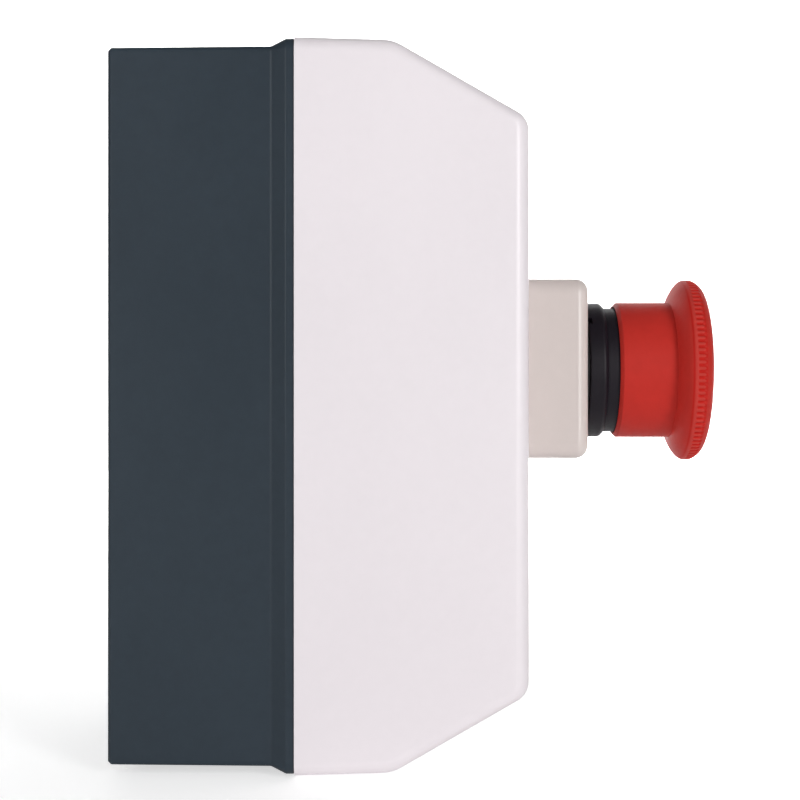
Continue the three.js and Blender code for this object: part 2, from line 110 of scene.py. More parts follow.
def rounded(corners, steps=8, closed=True):
    """An outline through corners (x, y, radius), anticlockwise, with each corner turned by an arc.

    With n0 and n1 the outward normals of the sides before and after a corner, the arc's centre is
    corner - r (n0 + n1) / (1 + n0.n1) and its points are centre + r n, with n swept from n0 to n1.
    A corner of radius 0 is one point whose normal is the mitre (n0 + n1) / (1 + n0.n1), so that
    points - inset * normals is the outline drawn in by the inset everywhere. An open outline
    keeps its two ends square.
    """
    spots = np.array([corner[:2] for corner in corners], float)
    along = np.roll(spots, -1, axis=0) - spots
    along /= np.linalg.norm(along, axis=1, keepdims=True)
    outwards = np.stack([along[:, 1], -along[:, 0]], axis=1)
    points, normals = [], []
    for i, (spot, corner) in enumerate(zip(spots, corners)):
        before, after = outwards[i - 1], outwards[i]
        if not closed and i == 0:
            before = after
        if not closed and i == len(corners) - 1:
            after = before
        mitre = (before + after) / (1 + before @ after)
        radius = corner[2]
        if radius == 0:
            points.append(spot[None])
            normals.append(mitre[None])
            continue
        turn = math.atan2(before[0] * after[1] - before[1] * after[0], before @ after)
        angles = math.atan2(before[1], before[0]) + turn * np.linspace(0, 1, steps + 1)
        sweep = np.stack([np.cos(angles), np.sin(angles)], axis=1)
        signed = math.copysign(radius, turn)
        points.append(spot - signed * mitre + signed * sweep)
        normals.append(sweep)
    return np.concatenate(points), np.concatenate(normals)


def rectangle(width, height, radius, steps=8):
    """Outline of a rectangle round the middle, with rounded corners."""
    x, y = width / 2, height / 2
    return rounded([(-x, -y, radius), (x, -y, radius), (x, y, radius), (-x, y, radius)], steps)


def net(rows, wrap_rows=False, wrap_columns=True, skip=()):
    """Quads over a grid of points, as (points, faces). Rows named in skip get no quads."""
    count, width = rows.shape[:2]
    i = np.arange(count if wrap_rows else count - 1)
    i = i[~np.isin(i, skip)]
    j = np.arange(width if wrap_columns else width - 1)
    i, j = np.meshgrid(i, j, indexing="ij")
    down, over = (i + 1) % count, (j + 1) % width
    quads = np.stack([i * width + j, i * width + over, down * width + over, down * width + j], -1)
    return rows.reshape(-1, 3), quads.reshape(-1, 4).tolist()


def stack(outline, stations):
    """Copies of an outline one behind the other, closed by a flat face at each end.

    Each station is (height, inset): copy k lies at z = heights[k] and is the outline drawn in by
    insets[k], points - insets[k] * normals.
    """
    points, normals = outline
    heights, insets = np.array(stations, float).T
    flat = points[None] - insets[:, None, None] * normals[None]
    level = np.broadcast_to(heights[:, None, None], flat.shape[:2] + (1,))
    rows = np.concatenate([flat, level], axis=-1)
    points, faces = net(rows)
    width, last = rows.shape[1], (rows.shape[0] - 1) * rows.shape[1]
    faces.append(list(range(width)))
    faces.append(list(range(last, last + width)))
    return points, faces


def soft_top(high, radius, steps):
    """Stations (height, inset) of a block's top edge as a quarter round.

    At t from 0 to 90 degrees the height is high - radius (1 - sin t) and the inset is
    radius (1 - cos t).
    """
    turn = np.linspace(0, math.pi / 2, steps + 1)
    return [(high - radius * (1 - math.sin(t)), radius * (1 - math.cos(t))) for t in turn]


def spun(corners, columns=96, steps=5, shape=None):
    """A closed profile of (radius, z, rounding) corners turned round z.

    The point at angle a is (r cos a, r sin a, z); shape(r, z, a) may change r on the way. The
    stretch of the profile that lies on the axis gets no faces.
    """
    profile, _ = rounded(corners, steps)
    angle = np.linspace(0, 2 * math.pi, columns, endpoint=False)
    r = np.repeat(profile[:, :1], columns, axis=1)
    z = np.repeat(profile[:, 1:], columns, axis=1)
    if shape:
        r = shape(r, z, angle[None])
    rows = np.stack([r * np.cos(angle), r * np.sin(angle), z], axis=-1)
    on_axis = profile[:, 0] < 1e-6
    skip = np.flatnonzero(on_axis & np.roll(on_axis, -1))
    return net(rows, wrap_rows=True, skip=skip)


def drum(radius, low, high, columns=48):
    """A plain round bar along z."""
    return spun([(0, low, 0), (radius, low, 0), (radius, high, 0), (0, high, 0)], columns)


def moved(form, x=0, y=0, z=0):
    """A form carried along by (x, y, z)."""
    return form[0] + np.array([x, y, z], float), form[1]


def turned(form, degrees, axis=2):
    """A form turned by an angle a round x (axis 0) or z (axis 2).

    Of the two other coordinates u becomes u cos a - v sin a, and v becomes u sin a + v cos a.
    """
    a = math.radians(degrees)
    u, v = [k for k in range(3) if k != axis]
    points, faces = form
    out = points.copy()
    out[:, u] = points[:, u] * math.cos(a) - points[:, v] * math.sin(a)
    out[:, v] = points[:, u] * math.sin(a) + points[:, v] * math.cos(a)
    return out, faces


def together(*forms):
    """Several forms as one, with their faces numbered on."""
    points, faces, start = [], [], 0
    for form_points, form_faces in forms:
        points.append(form_points)
        faces += [[start + k for k in face] for face in form_faces]
        start += len(form_points)
    return np.concatenate(points), faces


def corners_at(x, y):
    """The four places (+-x, +-y): top left, top right, bottom left, bottom right."""
    return [(sx * x, sy * y) for sy in (1, -1) for sx in (-1, 1)]


def mesh_of(form, name):
    """A welded mesh whose faces point outwards."""
    points, faces = form
    mesh = bpy.data.meshes.new(name)
    mesh.from_pydata(place(points).tolist(), [], faces)
    work = bmesh.new()
    work.from_mesh(mesh)
    bmesh.ops.remove_doubles(work, verts=work.verts, dist=1e-7)
    bmesh.ops.dissolve_degenerate(work, edges=work.edges, dist=1e-8)
    bmesh.ops.recalc_face_normals(work, faces=work.faces)
    work.to_mesh(mesh)
    work.free()
    return mesh


def carved(form, name, steps):
    """The form after each (operation, other form) of steps, as an exact boolean of solids."""
    thing = bpy.data.objects.new(name, mesh_of(form, name))
    bpy.context.collection.objects.link(thing)
    for operation, other in steps:
        tool = bpy.data.objects.new(name + "_tool", mesh_of(other, name + "_tool"))
        bpy.context.collection.objects.link(tool)
        modifier = thing.modifiers.new("shape", "BOOLEAN")
        modifier.operation = operation
        modifier.solver = "EXACT"
        modifier.object = tool
        graph = bpy.context.evaluated_depsgraph_get()
        shaped = bpy.data.meshes.new_from_object(thing.evaluated_get(graph))
        thing.modifiers.clear()
        thing.data = shaped
        bpy.data.objects.remove(tool)
    mesh = thing.data
    bpy.data.objects.remove(thing)
    return mesh


def piece(name, form, node, body, finish, steps=(), sharp=40):
    """One finished piece that stands for a CAD node: rides its body, wears its finish."""
    mesh = carved(form, name, steps) if steps else mesh_of(form, name)
    mesh.materials.clear()
    mesh.materials.append(finish)
    mesh.name = name
    mesh.shade_smooth()
    mesh.set_sharp_from_angle(angle=math.radians(sharp))
    thing = bpy.data.objects.new(name, mesh)
    bpy.context.collection.objects.link(thing)
    weigh = thing.modifiers.new("shading", "WEIGHTED_NORMAL")
    weigh.keep_sharp = True
    weigh.weight = 90
    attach(thing, body)
    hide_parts(node)
    return thing


# ---- finishes ---------------------------------------------------------------------------------

class Wire:
    """A node's output. Sums and products of wires add the Math nodes that they need."""

    def __init__(self, finish, socket):
        self.finish, self.socket = finish, socket

    def math(self, operation, *terms):
        return self.finish.node("ShaderNodeMath", {"operation": operation}, dict(enumerate(terms)))

    def __add__(self, other):
        return self.math("ADD", self, other)

    def __sub__(self, other):
        return self.math("SUBTRACT", self, other)

    def __rsub__(self, other):
        return self.math("SUBTRACT", other, self)

    def __mul__(self, other):
        return self.math("MULTIPLY", self, other)

    __radd__, __rmul__ = __add__, __mul__


class Finish:
    """A node material with one Principled BSDF."""

    def __init__(self, name):
        self.material = bpy.data.materials.new(name)
        self.material.use_nodes = True
        self.tree = self.material.node_tree
        self.bsdf = next(n for n in self.tree.nodes if n.type == "BSDF_PRINCIPLED")
        self.place = self.node("ShaderNodeTexCoord", output="Object")

    def node(self, kind, settings=None, inputs=None, output=0):
        """A node with its settings made first, then the values or wires of its sockets."""
        made = self.tree.nodes.new(kind)
        for key, value in (settings or {}).items():
            setattr(made, key, value)
        self.feed(made, inputs or {})
        return Wire(self, made.outputs[output])

    def feed(self, node, inputs):
        for key, value in inputs.items():
            if isinstance(value, Wire):
                self.tree.links.new(value.socket, node.inputs[key])
            else:
                node.inputs[key].default_value = value

    def noise(self, size_mm, detail=3.0, roughness=0.5, stretch=(1, 1, 1)):
        """Noise from 0 to 1 whose lumps are size_mm across, drawn out along X, Y and Z."""
        scale = tuple(1 / s for s in stretch)
        vector = self.node("ShaderNodeVectorMath", {"operation": "MULTIPLY"},
                           {0: self.place, 1: scale})
        return self.node("ShaderNodeTexNoise", None, {
            "Vector": vector, "Scale": 1 / (size_mm * MM), "Detail": detail,
            "Roughness": roughness})

    def ramp(self, value, low, high, to_low=0.0, to_high=1.0):
        """Smooth step of value from low to high."""
        return self.node("ShaderNodeMapRange", {"interpolation_type": "SMOOTHSTEP"}, {
            "Value": value, "From Min": low, "From Max": high,
            "To Min": to_low, "To Max": to_high})

    def mix(self, factor, first, second):
        """Colour that goes from first to second."""
        return self.node("ShaderNodeMix", {"data_type": "RGBA"},
                         {0: factor, 6: first, 7: second}, output=2)

    def bump(self, height, distance_mm, normal=None):
        """Relief where a height of 1 stands distance_mm above 0, laid over an earlier normal."""
        inputs = {"Height": height, "Distance": distance_mm * MM, "Strength": 1.0}
        if normal:
            inputs["Normal"] = normal
        return self.node("ShaderNodeBump", None, inputs)

    def done(self, **sockets):
        """Sets the shader's sockets and gives the material."""
        names = {key.replace("_", " "): value for key, value in sockets.items()}
        self.feed(self.bsdf, names)
        return self.material


def shade(colour, factor):
    """A colour made lighter or darker by a factor, with its alpha."""
    return tuple(min(c * factor, 1.0) for c in colour) + (1.0,)


def srgb(*levels):
    """Screen levels from 0 to 255 as linear colour."""
    level = np.array(levels, float) / 255
    linear = np.where(level <= 0.04045, level / 12.92, ((level + 0.055) / 1.055) ** 2.4)
    return tuple(float(v) for v in linear)


WAVE_DEPTH = 0.06
# Painted shade deepens the red between the mushroom's ribs, and a painted highlight makes their
# tops paler.
RIB_GROOVE_SHADE_RED = (0.52, 0.014, 0.009, 1)
RIB_TOP_HIGHLIGHT_RED = (0.58, 0.060, 0.048, 1)


def moulded(name, colour, roughness, grain_mm, grain_depth, mottle, specular=0.25, flow=0.0,
            ribs=None):
    """Moulded plastic: satin grain, slow mottling of colour and gloss, and shallow sink waves.

    A grain_depth of 0 leaves the grain out, and flow is the strength of the waves. ribs gives the
    distances from the mushroom's axis of the bottom and top of its ribs: their tops get a painted
    highlight of paler red, and painted shade deepens the red between them.
    """
    finish = Finish(name)
    slow = finish.noise(38, 2.0, 0.5, stretch=(1, 1, 1.6))
    fine = finish.noise(2.4, 4.0, 0.6)
    speck = finish.noise(0.9, 2.0, 0.5)
    tone = finish.ramp(slow * 0.6 + fine * 0.4, 0.30, 0.70)
    paint = finish.mix(tone, shade(colour, 1 - mottle), shade(colour, 1 + mottle))
    if ribs:
        middle = tuple(place((0, STOP_Y, 0)))
        from_axis = finish.node("ShaderNodeVectorMath", {"operation": "SUBTRACT"},
                                {0: finish.place, 1: middle})
        flat = finish.node("ShaderNodeVectorMath", {"operation": "MULTIPLY"},
                           {0: from_axis, 1: (1, 0, 1)})
        reach = finish.node("ShaderNodeVectorMath", {"operation": "LENGTH"}, {0: flat},
                            output="Value")
        low, high = ribs[0] * MM, ribs[1] * MM
        out = finish.ramp(reach, 0.985 * low, low)
        top = finish.ramp(reach, low, high)
        # Painted shade between the ribs, then a painted highlight on their tops.
        paint = finish.mix(out * (1 - top), paint, RIB_GROOVE_SHADE_RED)
        paint = finish.mix(top * 0.5, paint, RIB_TOP_HIGHLIGHT_RED)
    waves = finish.noise(24, 1.0, 0.4)
    rough = finish.ramp(slow * 0.5 + speck * 0.5, 0.35, 0.65, roughness - 0.04, roughness + 0.05)
    normal = finish.bump(waves, WAVE_DEPTH * flow) if flow else None
    if grain_depth:
        normal = finish.bump(finish.noise(grain_mm, 2.0, 0.55), grain_depth, normal)
    return finish.done(Base_Color=paint, Roughness=rough, Normal=normal,
                       Specular_IOR_Level=specular)


def metal(name, colour, roughness, brushed=(1, 1, 1), stain=0.15):
    """Plated or drawn metal: fine scratches along one way and faint clouding of the surface."""
    finish = Finish(name)
    cloud = finish.noise(5, 3.0, 0.6)
    scratch = finish.noise(0.25, 2.0, 0.6, stretch=brushed)
    tone = finish.ramp(cloud, 0.35, 0.68)
    paint = finish.mix(tone, shade(colour, 1 - stain), shade(colour, 1))
    rough = finish.ramp(cloud * 0.5 + scratch * 0.5, 0.35, 0.65, roughness - 0.08, roughness + 0.1)
    return finish.done(Base_Color=paint, Roughness=rough, Metallic=1.0,
                       Normal=finish.bump(scratch, 0.01))


# The two pale plastics stay rougher than 0.28, below which a clean surface renders speckled.
SLATE = moulded("slate_abs", (0.026, 0.0385, 0.052), 0.42, 0.35, 0.010, 0.07, specular=0.28,
                flow=1.0)
PALE = moulded("pale_abs", srgb(241, 234, 238), 0.34, 0.4, 0, 0.012, specular=0.4, flow=0.5)
IVORY = moulded("ivory_abs", srgb(227, 216, 211), 0.33, 0.4, 0, 0.02, specular=0.5, flow=0.4)
BLACK = moulded("black_nylon", (0.010, 0.007, 0.012), 0.48, 0.3, 0.01, 0.15)
# ribs: painted shade between the mushroom's ribs and a painted highlight on their tops.
RED = moulded("red_nylon", (0.52, 0.030, 0.022), 0.48, 0.3, 0.008, 0.06, specular=0.10,
              ribs=(head_high[0] - 0.26, head_high[0] - 0.04))
GREEN = moulded("green_nylon", srgb(38, 128, 70), 0.40, 0.3, 0.008, 0.05)
GREY = moulded("grey_nylon", srgb(150, 152, 154), 0.50, 0.3, 0.010, 0.04)
WHITE = moulded("white_nylon", srgb(226, 223, 215), 0.45, 0.3, 0.008, 0.03)
RUBBER = moulded("black_rubber", srgb(34, 34, 36), 0.80, 0.5, 0.02, 0.12)
ZINC = metal("zinc_steel", (0.62, 0.64, 0.66), 0.37, brushed=(6, 1, 1))
WIRE = metal("spring_steel", (0.45, 0.47, 0.50), 0.28, brushed=(1, 8, 1))
BRASS = metal("brass", (0.62, 0.44, 0.17), 0.32, brushed=(1, 1, 6))
COPPER = metal("copper", (0.62, 0.27, 0.12), 0.35, brushed=(4, 4, 1))

FINISHES = {
    "slate_abs": SLATE, "pale_abs": PALE, "ivory_abs": IVORY, "black_nylon": BLACK,
    "red_nylon": RED, "green_nylon": GREEN, "grey_nylon": GREY, "white_nylon": WHITE,
    "black_rubber": RUBBER, "zinc_steel": ZINC, "spring_steel": WIRE, "brass": BRASS,
    "copper": COPPER,
}


def dress_cad_nodes():
    """Gives every CAD node that stays the finish of its material slot."""
    for row in frame["record"]["subparts"]:
        thing = bpy.data.objects.get(row["node"])
        if thing:
            thing.data.materials.clear()
            thing.data.materials.append(FINISHES[row["material_slot"]])


# ---- enclosure --------------------------------------------------------------------------------

COVER_WALL = 2.5
COVER_DRAFT = 0.022
SHOULDER_START = 56.6
SHOULDER_DROP = 15.9
RIM_DRAFT = 0.45
SCREW_X, SCREW_Y = 37.6, 64.4
WELL_FLOOR, WELL_RADIUS = 48.0, 4.3
GROOVE_OUTER, GROOVE_INNER, GROOVE_DEPTH = 1.6, 3.2, 2.5
TONGUE_PLAY = 0.15
COLLAR_SCREW = 14.6


def rim_outline(inset, steps=8):
    """The outline of base and cover at their joint, drawn in by inset."""
    return rectangle(WIDTH - 2 * inset, HEIGHT - 2 * inset, max(RIM_RADIUS - inset, 0.8), steps)


def cover_block(inset, edge, steps=10):
    """The cover's side outline carried across its width, with its long edges rounded.

    At t from 0 to 90 degrees the outline is drawn in by edge (1 - cos t) at
    x = WIDTH / 2 - inset - edge (1 - sin t); then x shrinks by the draft towards the front.
    """
    half = HEIGHT / 2
    slope = math.atan2(SHOULDER_DROP - RIM_DRAFT, DEPTH - SHOULDER_START)
    start = SHOULDER_START - inset * math.tan(slope / 2), half - RIM_DRAFT - inset
    nose_turn = math.pi / 2 - slope
    nose = DEPTH - inset, half - SHOULDER_DROP - inset * math.tan(nose_turn / 2)
    behind = SPLIT + SEAT_GAP if inset == 0 else SPLIT - 6
    reach = RIM_DRAFT * (SHOULDER_START - behind) / (SHOULDER_START - SPLIT)
    rim = half - RIM_DRAFT - inset + reach
    shoulder_radius, nose_radius = max(8 - inset, 1), max(4.4 - inset, 1)
    points, normals = rounded([
        (behind, -rim, 0), (start[0], -start[1], shoulder_radius), (nose[0], -nose[1], nose_radius),
        (nose[0], nose[1], nose_radius), (start[0], start[1], shoulder_radius), (behind, rim, 0),
    ], steps)
    normals[0], normals[-1] = (0, -1), (0, 1)
    across = WIDTH / 2 - inset
    turn = np.linspace(0, math.pi / 2, steps + 1)
    side = np.stack([across - edge * (1 - np.sin(turn)), edge * (1 - np.cos(turn))], axis=1)
    stations = np.concatenate([side[::-1] * (-1, 1), side])
    form_points, faces = stack((points[:, ::-1], normals[:, ::-1]), stations)
    form_points = form_points[:, [2, 0, 1]]
    drawn = (form_points[:, 2] - SPLIT) / (DEPTH - SPLIT)
    form_points[:, 0] *= 1 - COVER_DRAFT * drawn
    return form_points, faces


def cover_shell():
    """Hollow cover with its tongue, screw wells, and the holes for both controls."""
    wells = [moved(drum(WELL_RADIUS, WELL_FLOOR, DEPTH + 5), x, y)
             for x, y in corners_at(SCREW_X, SCREW_Y)]
    bores = [moved(drum(2.3, SPLIT - 2, WELL_FLOOR + 1), x, y)
             for x, y in corners_at(SCREW_X, SCREW_Y)]
    sleeves = [moved(drum(WELL_RADIUS + 2.3, WELL_FLOOR - 6, DEPTH), x, y)
               for x, y in corners_at(SCREW_X, SCREW_Y)]
    outside = cover_block(0, RIM_RADIUS)
    inside = cover_block(COVER_WALL, 1.2, 5)
    tongue = stack(rim_outline(GROOVE_OUTER + TONGUE_PLAY), [(SPLIT - 0.7, 0), (SPLIT + 3, 0)])
    tongue_hole = stack(rim_outline(GROOVE_INNER - TONGUE_PLAY), [(SPLIT - 1, 0), (SPLIT + 4, 0)])
    plunger_hole = moved(drum(9, DEPTH - 6, DEPTH + 1), 0, STOP_Y)
    collar_holes = [moved(drum(1.8, DEPTH - 6, DEPTH + 1, columns=24), x, y + STOP_Y)
                    for x, y in corners_at(COLLAR_SCREW, COLLAR_SCREW)]
    seat = spun([(0, DEPTH - 6, 0), (8.6, DEPTH - 6, 0), (8.6, DEPTH - 1.7, 0),
                 (10, DEPTH - 1.7, 0), (10, DEPTH + 1, 0), (0, DEPTH + 1, 0)], 96)
    hollow = mesh_steps(inside, [("DIFFERENCE", together(*sleeves))])
    ring = mesh_steps(tongue, [("DIFFERENCE", tongue_hole)])
    steps = [("DIFFERENCE", hollow), ("UNION", ring), ("DIFFERENCE", together(*wells)),
             ("DIFFERENCE", together(*bores)), ("DIFFERENCE", plunger_hole),
             ("DIFFERENCE", together(*collar_holes)),
             ("DIFFERENCE", moved(seat, 0, START_Y))]
    piece("cover", outside, "cover_shell", "enclosure", PALE, steps)


def mesh_steps(form, steps):
    """A carved form as a form again, so that it can be a tool for another."""
    mesh = carved(form, "tool", steps)
    points = np.empty(len(mesh.vertices) * 3)
    mesh.vertices.foreach_get("co", points)
    points = points.reshape(-1, 3)[:, [0, 2, 1]] * (1, 1, -1) / MM
    faces = [list(face.vertices) for face in mesh.polygons]
    bpy.data.meshes.remove(mesh)
    return points, faces


def base_shell():
    """Dark base: tub that flares into a flange, with posts, knock-outs and pockets in the back."""
    neck, _ = rounded([(2.7, 0, 0), (2.1, 0.6, 0.6), (1.8, 32.4, 1.5), (0.3, 35.4, 0.9),
                       (0.3, SPLIT - 0.15, 0), (0.45, SPLIT, 0)], 6, closed=False)
    outside = stack(rim_outline(0, 10), neck[:, ::-1])
    inside = stack(rim_outline(4.5), [(3, 0.4), (SPLIT + 1, 0)])
    groove_floor = SPLIT - GROOVE_DEPTH
    groove_core = stack(rim_outline(GROOVE_INNER), [(groove_floor - 1, 0), (SPLIT + 2, 0)])
    groove = mesh_steps(stack(rim_outline(GROOVE_OUTER), [(groove_floor, 0), (SPLIT + 1, 0)]),
                        [("DIFFERENCE", groove_core)])
    posts = [moved(drum(4.6, 2.5, SPLIT - SEAT_GAP), x, y) for x, y in corners_at(SCREW_X, SCREW_Y)]
    pilots = [moved(drum(2.2, 18, SPLIT + 1), x, y) for x, y in corners_at(SCREW_X, SCREW_Y)]
    rail_low, rail_high = wall_box("din_rail")
    rail_y = (rail_low[1] + rail_high[1]) / 2
    pads = [moved(drum(5, 2.5, rail_low[2] - SEAT_GAP), x, rail_y) for x in (-28, 28)]
    rail_pilots = [moved(drum(2.2, 1.2, 8), x, rail_y) for x in (-28, 28)]
    bar_low, bar_high = wall_box("earth_bar")
    bar_y = (bar_low[1] + bar_high[1]) / 2
    earth_pad = moved(stack(rectangle(30, 10, 1), [(2.5, 0), (6, 0)]), 0, bar_y)
    bar_pilots = [moved(drum(1.8, 2, 8, columns=24), x, bar_y) for x in (-8, 8)]
    wall_holes = [moved(spun([(0, -1, 0), (3.3, -1, 0), (3.3, 1.8, 0), (5.8, 1.8, 0),
                              (5.8, 4, 0), (0, 4, 0)], 48), x, y) for x, y in corners_at(33, 48)]
    rings = []
    for x, y in corners_at(20, HEIGHT / 2):
        ring = spun([(10.3, -3.4, 0), (11.2, -3.4, 0), (11.2, 3.4, 0), (10.3, 3.4, 0)], 72)
        rings.append(moved(turned(ring, 90, axis=0), x, y, 18.5))
    pockets = []
    for x, y in corners_at(20.5, 34.5):
        pocket = moved(stack(rectangle(33, 61, 3), [(-1, 0), (0.8, 0)]), x, y)
        boss = moved(drum(8, -2, 2), math.copysign(33, x), math.copysign(48, y))
        pockets.append(mesh_steps(pocket, [("DIFFERENCE", boss)]))
    steps = [("DIFFERENCE", inside), ("DIFFERENCE", groove),
             ("UNION", together(*posts)), ("UNION", together(*pads, earth_pad)),
             ("DIFFERENCE", together(*pilots, *rail_pilots, *bar_pilots, *wall_holes)),
             ("DIFFERENCE", together(*rings)), ("DIFFERENCE", together(*pockets))]
    piece("base", outside, "base_shell", "enclosure", SLATE, steps)


def cover_screws():
    """Pan-head screws at the bottom of the wells, with a cross recess."""
    names = ("top_left", "top_right", "bottom_left", "bottom_right")
    seat = WELL_FLOOR + SEAT_GAP
    for corner, (x, y) in zip(names, corners_at(SCREW_X, SCREW_Y)):
        body = spun([(0, -26, 0), (0.9, -26, 0.2), (1.9, -24, 0.5), (1.9, 0, 0), (3.8, 0, 0.3),
                     (3.8, 1.4, 0.9), (2.6, 2.8, 1.4), (0, 2.8, 0)], 64)
        bar = stack(rectangle(4.4, 0.9, 0.1, 2), [(1.2, 0.05), (3.5, 0)])
        lean = 20 * x / SCREW_X
        steps = [("DIFFERENCE", moved(turned(bar, angle), x, y, seat))
                 for angle in (lean, 90 + lean)]
        node = "cover_screw_" + corner
        piece(node.replace("screw", "bolt"), moved(body, x, y, seat), node, "enclosure",
              ZINC, steps)


# ---- stop head --------------------------------------------------------------------------------

def stop_collar():
    """Square collar with soft front edges, hollow behind, and four screw posts."""
    side = COLLAR_SIDE
    back = collar_low[2]
    outside = stack(rectangle(side, side, 3.4, 10), [(back, 0)] + soft_top(COLLAR_FACE, 2.6, 10))
    inner = side - 5.2
    hollow = stack(rectangle(inner, inner, 2), [(back - 1, 0), (COLLAR_FACE - 2.6, 0)])
    posts = [moved(drum(3, back + 1.3, COLLAR_FACE - 1, columns=32), x, y)
             for x, y in corners_at(COLLAR_SCREW, COLLAR_SCREW)]
    hollow = mesh_steps(hollow, [("DIFFERENCE", together(*posts))])
    pilots = [moved(drum(1.4, back, COLLAR_FACE - 3.6, columns=24), x, y)
              for x, y in corners_at(COLLAR_SCREW, COLLAR_SCREW)]
    hole = drum(11.3, back - 2, COLLAR_FACE + 1, columns=96)
    steps = [("DIFFERENCE", moved(hollow, 0, STOP_Y)),
             ("DIFFERENCE", moved(together(*pilots), 0, STOP_Y)),
             ("DIFFERENCE", moved(hole, 0, STOP_Y))]
    piece("collar", moved(outside, 0, STOP_Y), "stop_collar", "enclosure", IVORY,
          steps)


def stop_bezel():
    """Black bezel: barrel through the collar, and a flange with index notches and a recess."""
    body = spun([
        (9, -9.6, 0.2), (4.5, -9.6, 0.2), (4.5, -12.2, 0.2), (11, -12.2, 0.4), (11, 0.9, 0),
        (15.05, 0.9, 0.25), (15.05, 4.2, 1.0), (14.05, 5.15, 0.12), (14.05, 2, 0), (12, 2, 0),
        (12, 12, 0.3), (9, 12, 0.3)], 128)
    at = COLLAR_FACE
    notches = [moved(turned(moved(stack(rectangle(4, 1.9, 0.2, 2), [(0.2, 0), (1.75, 0)]), 15.9),
                            angle), 0, STOP_Y, at) for angle in (135, 315)]
    piece("bezel", moved(body, 0, STOP_Y, at), "stop_bezel", "enclosure", BLACK,
          [("DIFFERENCE", together(*notches))])


def stop_sleeve():
    """Black sleeve of the mushroom, which slides in the bezel and is fixed in the skirt."""
    body = spun([
        (12.3, 4.1, 0.15), (13.9, 4.1, 0.2), (13.9, 8.6, 0), (14.15, 8.6, 0),
        (14.15, 12, 0.2), (12.3, 12, 0.2)], 128)
    piece("sleeve", moved(body, 0, STOP_Y, COLLAR_FACE), "stop_sleeve", "mushroom_body",
          BLACK)


SKIRT_END = 7.45
FLARE_RISE = 3.4
RIBS = 94
RIB_DEPTH = 0.3


def mushroom():
    """Red mushroom: skirt, flared underside, ribbed rim and a low domed face.

    The underside is r = skirt + (rim - skirt) sin t, z = flare + FLARE_RISE (1 - cos t)^0.65, and
    the face z = dome + (apex - dome) (1 - (r / rim)^15)^0.93. Round the rim the radius at angle a
    is r - RIB_DEPTH smoothstep((|sin(RIBS a / 2)| - 0.5) / 0.4), and the ribs fade out at both
    ends over 0.3 mm.
    """
    at = COLLAR_FACE
    skirt, rim = 15.15, head_high[0]
    flare, dome, apex = 19.85, 24.6, head_high[2] - at
    lip = flare + FLARE_RISE
    t = np.linspace(0, math.pi / 2, 19)[1:-1]
    under = [(skirt + (rim - skirt) * math.sin(a),
              flare + FLARE_RISE * (1 - math.cos(a)) ** 0.65, 0) for a in t]
    band = [(rim, z, 0) for z in np.linspace(lip, dome, 7)]
    radii = np.concatenate([rim * np.cos(t) ** 0.133, rim * np.array([0.6, 0.45, 0.3, 0.15])])
    face = [(r, dome + (apex - dome) * (1 - (r / rim) ** 15) ** 0.93, 0) for r in radii]

    def ribbed(r, z, angle):
        window = np.clip(np.minimum(z - lip + 0.02, dome + 0.75 - z) / 0.3, 0, 1)
        wave = np.clip((np.abs(np.sin(RIBS * angle / 2)) - 0.5) / 0.4, 0, 1)
        groove = wave * wave * (3 - 2 * wave)
        return np.where(r > 0.95 * rim, r - RIB_DEPTH * groove * window, r)

    body = spun([
        (0, 17, 0), (4.3, 17, 0.2), (4.3, 10.3, 0.3), (7, 10.3, 0.3), (7, 24, 0.4),
        (14.25, 24, 0.6), (14.25, SKIRT_END, 0.05), (14.4, SKIRT_END, 0.05),
        (skirt, SKIRT_END + 0.75, 0.25), (skirt, flare, 0), *under, *band, *face, (0, apex, 0)
    ], RIBS * 8, 4, shape=ribbed)
    piece("mushroom", moved(body, 0, STOP_Y, at), "stop_mushroom", "mushroom_body",
          RED, sharp=55)


# ---- start button -----------------------------------------------------------------------------

def start_button():
    """Flush start button: black bezel let into the cover and a green cap just below its rim."""
    at = DEPTH
    bezel = spun([(3.1, -14, 0.3), (8.2, -14, 0.4), (8.2, -1.6, 0), (9.7, -1.6, 0.2),
                  (9.7, 0, 0.5), (6.7, 0, 0.35), (6.7, -12.6, 0.3), (3.1, -12.6, 0.2)], 96)
    piece("start_ring", moved(bezel, 0, START_Y, at), "start_bezel", "enclosure",
          BLACK)
    tip = cap_low[2] - at
    dish = [(r, -0.4 - 0.35 * (1 - (r / 5.6) ** 2), 0) for r in np.linspace(5.2, 0.6, 9)]
    cap = spun([(0, tip, 0), (2.7, tip, 0.5), (2.7, -4.6, 0.3), (6.35, -4.6, 0.2),
                (6.35, -0.4, 0.5), *dish, (0, -0.75, 0)], 96)
    piece("start_button", moved(cap, 0, START_Y, at), "start_cap", "start_cap_body",
          GREEN)


# ---- springs ----------------------------------------------------------------------------------

def coil(radius, wire, turns, low, high, steps=40, sides=10):
    """A helix of round wire between low and high, with its ends closed by flat faces.

    With u from 0 to 1, the middle of the wire is at angle a = 2 pi turns u and at
    z = low + wire + (high - low - 2 wire) u, where wire is the wire's radius.
    """
    u = np.linspace(0, 1, turns * steps + 1)
    a = 2 * math.pi * turns * u
    rise = high - low - 2 * wire
    middle = np.stack([radius * np.cos(a), radius * np.sin(a), low + wire + rise * u], axis=1)
    along = np.stack([-radius * np.sin(a), radius * np.cos(a),
                      np.full_like(a, rise / (2 * math.pi * turns))], axis=1)
    along /= np.linalg.norm(along, axis=1, keepdims=True)
    out = np.stack([np.cos(a), np.sin(a), np.zeros_like(a)], axis=1)
    up = np.cross(along, out)
    around = np.arange(sides) * 2 * math.pi / sides
    rows = middle[:, None] + wire * (np.cos(around)[None, :, None] * out[:, None]
                                     + np.sin(around)[None, :, None] * up[:, None])
    points, faces = net(rows)
    last = len(points) - sides
    return points, faces + [list(range(sides)), list(range(last, last + sides))]


